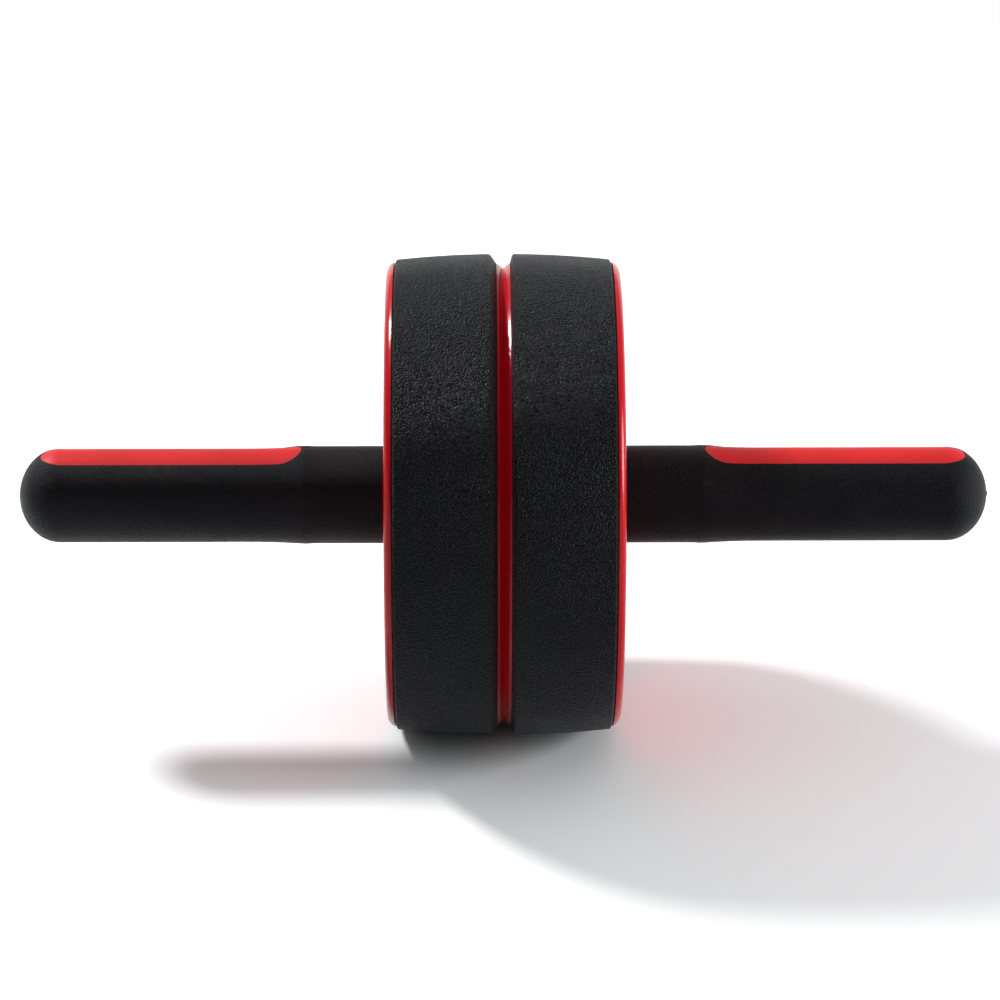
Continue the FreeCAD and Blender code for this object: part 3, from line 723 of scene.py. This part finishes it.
class ABWHEEL_OT_wheel_halves(Operator):
    """Give the two moulded wheel halves their glossy red"""

    bl_idname = "abwheel.wheel_halves"
    bl_label = "Wheel halves"

    def execute(self, context):
        red = glossy_red("wheel_red", context.scene.ab_wheel.wheel.plastic)
        dress(red, "left_wheel_half", "right_wheel_half")
        return {"FINISHED"}


class ABWHEEL_OT_hub(Operator):
    """Give bushes, washers, axle, cores, plugs and screws their finishes"""

    bl_idname = "abwheel.hub"
    bl_label = "Hub and axle"

    def execute(self, context):
        s = context.scene.ab_wheel.wheel
        dress(moulded_plastic("bush_plastic", s.bush, low=0.36, high=0.5), "left_bush", "right_bush")
        core = moulded_plastic("core_plastic", s.core, low=0.44, high=0.58)
        dress(core, "left_grip_core", "right_grip_core", "left_axle_plug", "right_axle_plug")
        dress(drawn_steel("axle_steel", s.steel), "axle_tube")
        zinc = zinc_plate("zinc_plate", s.zinc)
        dress(zinc, "left_thrust_washer", "right_thrust_washer", "grip_screws", "wheel_screws")
        return {"FINISHED"}


# Stage

SENSOR = 36.0  # width of the camera's sensor in millimetres
VIEW_END = 50.0  # how far the camera sees, in metres
SHADOW_FADE = 1.8  # times the shadow's reach, where the floor is plain white
SKY_MIDDLE = (0.0, 0.35, 0.94)  # towards the brightest part of the sky
SKY_SPREAD = (-0.1, 0.9)  # cosines from that direction, from dim to bright
FLOOR_EDGE = 1.5  # times the level floor's radius, where the risen floor ends
FLOOR_STEPS = 96  # round the floor
FLOOR_TINT = (0.968, 0.993, 1.008)  # cool, against the red that the wheel throws on it


def floor_material(s):
    """Pale matt floor that keeps the shadow near the wheel and turns plain white further out.

    It looks paler to the eye, in gloss and through glass than the light it throws back."""
    material = bpy.data.materials.new("pale_floor")
    material.use_nodes = True
    nodes, links = material.node_tree.nodes, material.node_tree.links
    nodes.clear()
    seen = seen_directly(nodes, links)
    place = nodes.new("ShaderNodeTexCoord")
    span = nodes.new("ShaderNodeVectorMath")
    span.operation = "LENGTH"
    far = nodes.new("ShaderNodeMapRange")
    far.interpolation_type = "SMOOTHSTEP"
    far.inputs["From Min"].default_value = s.shadow_reach
    far.inputs["From Max"].default_value = SHADOW_FADE * s.shadow_reach
    white = nodes.new("ShaderNodeMath")
    white.operation = "MULTIPLY"
    tone = nodes.new("ShaderNodeMapRange")
    tone.inputs["To Min"].default_value = s.floor_bounce
    tone.inputs["To Max"].default_value = s.floor_tone
    tinted = nodes.new("ShaderNodeVectorMath")
    tinted.operation = "SCALE"
    tinted.inputs[0].default_value = FLOOR_TINT
    matt = nodes.new("ShaderNodeBsdfDiffuse")
    glow = nodes.new("ShaderNodeEmission")
    mix = nodes.new("ShaderNodeMixShader")
    out = nodes.new("ShaderNodeOutputMaterial")
    links.new(place.outputs["Object"], span.inputs[0])
    links.new(span.outputs["Value"], far.inputs["Value"])
    links.new(far.outputs["Result"], white.inputs[0])
    links.new(seen, white.inputs[1])
    links.new(seen, tone.inputs["Value"])
    links.new(tone.outputs["Result"], tinted.inputs["Scale"])
    links.new(tinted.outputs["Vector"], matt.inputs["Color"])
    links.new(white.outputs[0], mix.inputs["Fac"])
    links.new(matt.outputs[0], mix.inputs[1])
    links.new(glow.outputs[0], mix.inputs[2])
    links.new(mix.outputs[0], out.inputs["Surface"])
    return material


def seen_directly(nodes, links):
    """One where a ray comes from the eye, from gloss or through glass, nought for the light itself."""
    path = nodes.new("ShaderNodeLightPath")
    value = path.outputs["Is Camera Ray"]
    for kind in ("Is Glossy Ray", "Is Transmission Ray"):
        most = nodes.new("ShaderNodeMath")
        most.operation = "MAXIMUM"
        links.new(value, most.inputs[0])
        links.new(path.outputs[kind], most.inputs[1])
        value = most.outputs[0]
    return value


def make_sky(s):
    """Soft light from all round, bright above and behind, dim in front."""
    world = bpy.data.worlds.new("studio")
    world.use_nodes = True
    nodes, links = world.node_tree.nodes, world.node_tree.links
    place = nodes.new("ShaderNodeTexCoord")
    towards = nodes.new("ShaderNodeVectorMath")
    towards.operation = "DOT_PRODUCT"
    towards.inputs[1].default_value = SKY_MIDDLE
    level = nodes.new("ShaderNodeMapRange")
    level.interpolation_type = "SMOOTHSTEP"
    level.inputs["From Min"].default_value = SKY_SPREAD[0]
    level.inputs["From Max"].default_value = SKY_SPREAD[1]
    level.inputs["To Min"].default_value = s.sky_low
    level.inputs["To Max"].default_value = s.sky_high
    links.new(place.outputs["Generated"], towards.inputs[0])
    links.new(towards.outputs["Value"], level.inputs["Value"])
    links.new(level.outputs["Result"], nodes["Background"].inputs["Strength"])
    nodes["Background"].inputs["Color"].default_value = (1.0, 1.0, 1.0, 1.0)
    bpy.context.scene.world = world


def direction(azimuth, elevation):
    """Unit vector from the wheel towards a place, by its angle round from +X to +Y and its angle up."""
    flat = math.cos(elevation)
    return Vector((flat * math.cos(azimuth), flat * math.sin(azimuth), math.sin(elevation)))


def add_light(name, foot, azimuth, elevation, distance, size, strength):
    """Round soft light that gives its strength, in watts per square metre, at the foot of the wheel."""
    light = bpy.data.lights.new(name, "AREA")
    light.shape = "DISK"
    light.size = size
    light.energy = strength * math.pi * distance**2
    lamp = bpy.data.objects.new(name, light)
    bpy.context.scene.collection.objects.link(lamp)
    lamp.location = foot + direction(azimuth, elevation) * distance
    lamp.rotation_euler = (-direction(azimuth, elevation)).to_track_quat("-Z", "Y").to_euler()


def floor_grid(s):
    """Grid of a round floor: level, then rising with the smooth step of the way out."""
    out = np.concatenate([[0.0, 0.5, 1.0], np.linspace(1.0, FLOOR_EDGE, 13)[1:]])
    way = np.clip((out - 1.0) / (FLOOR_EDGE - 1.0), 0.0, 1.0)
    height = s.floor_z + s.floor_rise * way * way * (3 - 2 * way)
    around = np.linspace(0.0, 2 * math.pi, FLOOR_STEPS + 1)
    x = s.floor_reach * out[:, None] * np.cos(around)
    y = s.floor_reach * out[:, None] * np.sin(around)
    return np.stack([x, y, np.repeat(height[:, None], FLOOR_STEPS + 1, axis=1)], -1)


class ABWHEEL_OT_stage(Operator):
    """Make the pale floor, the studio lights and the camera"""

    bl_idname = "abwheel.stage"
    bl_label = "Stage"

    def execute(self, context):
        s = context.scene.ab_wheel.stage
        grid = floor_grid(s)
        mesh = bpy.data.meshes.new("floor")
        mesh.from_pydata(grid.reshape(-1, 3), [], quads(*grid.shape[:2]))
        mesh.materials.append(floor_material(s))
        floor = bpy.data.objects.new("floor", mesh)
        context.scene.collection.objects.link(floor)
        make_sky(s)
        foot = Vector((0.0, 0.0, s.floor_z))
        key = (s.key_azimuth, s.key_elevation, s.key_distance, s.key_size, s.key_strength)
        add_light("key_light", foot, *key)
        fill = (s.fill_azimuth, s.fill_elevation, s.fill_distance, s.fill_size, s.fill_strength)
        add_light("fill_light", foot, *fill)
        camera = bpy.data.cameras.new("camera")
        camera.lens = s.lens
        camera.sensor_width = SENSOR
        camera.clip_end = VIEW_END
        eye = bpy.data.objects.new("camera", camera)
        context.scene.collection.objects.link(eye)
        aim = Vector((s.aim_x, 0.0, s.aim_z))
        back = direction(-QUARTER - s.swing, s.elevation)
        eye.location = aim + back * s.distance
        eye.rotation_euler = (-back).to_track_quat("-Z", "Y").to_euler()
        context.scene.camera = eye
        context.scene.view_settings.view_transform = "Standard"
        return {"FINISHED"}


class ABWHEEL_PT_panel(Panel):
    """Sidebar panel with a button for each group of pieces"""

    bl_idname = "ABWHEEL_PT_panel"
    bl_label = "Ab Wheel Roller"
    bl_space_type = "VIEW_3D"
    bl_region_type = "UI"
    bl_category = "Ab Wheel"

    def draw(self, context):
        column = self.layout.column(align=True)
        for operator in OPERATORS:
            column.operator(operator.bl_idname)
        for group in ("treads", "grips", "inserts", "wheel", "stage"):
            settings = getattr(context.scene.ab_wheel, group)
            box = self.layout.box()
            box.label(text=group.capitalize())
            for name in settings.__annotations__:
                box.prop(settings, name)


OPERATORS = (
    ABWHEEL_OT_treads,
    ABWHEEL_OT_grips,
    ABWHEEL_OT_inserts,
    ABWHEEL_OT_wheel_halves,
    ABWHEEL_OT_hub,
    ABWHEEL_OT_stage,
)
SETTINGS = (TreadSettings, GripSettings, InsertSettings, WheelSettings, StageSettings, AbWheelSettings)


def register():
    """Make the settings, operators and panel known to Blender."""
    for cls in (*SETTINGS, *OPERATORS, ABWHEEL_PT_panel):
        bpy.utils.register_class(cls)
    bpy.types.Scene.ab_wheel = PointerProperty(type=AbWheelSettings)


def unregister():
    """Take them out again."""
    del bpy.types.Scene.ab_wheel
    for cls in (ABWHEEL_PT_panel, *reversed(OPERATORS), *reversed(SETTINGS)):
        bpy.utils.unregister_class(cls)


def main():
    register()
    bpy.ops.abwheel.treads()
    bpy.ops.abwheel.grips()
    bpy.ops.abwheel.inserts()
    bpy.ops.abwheel.wheel_halves()
    bpy.ops.abwheel.hub()
    bpy.ops.abwheel.stage()


if __name__ == "__main__":
    main()
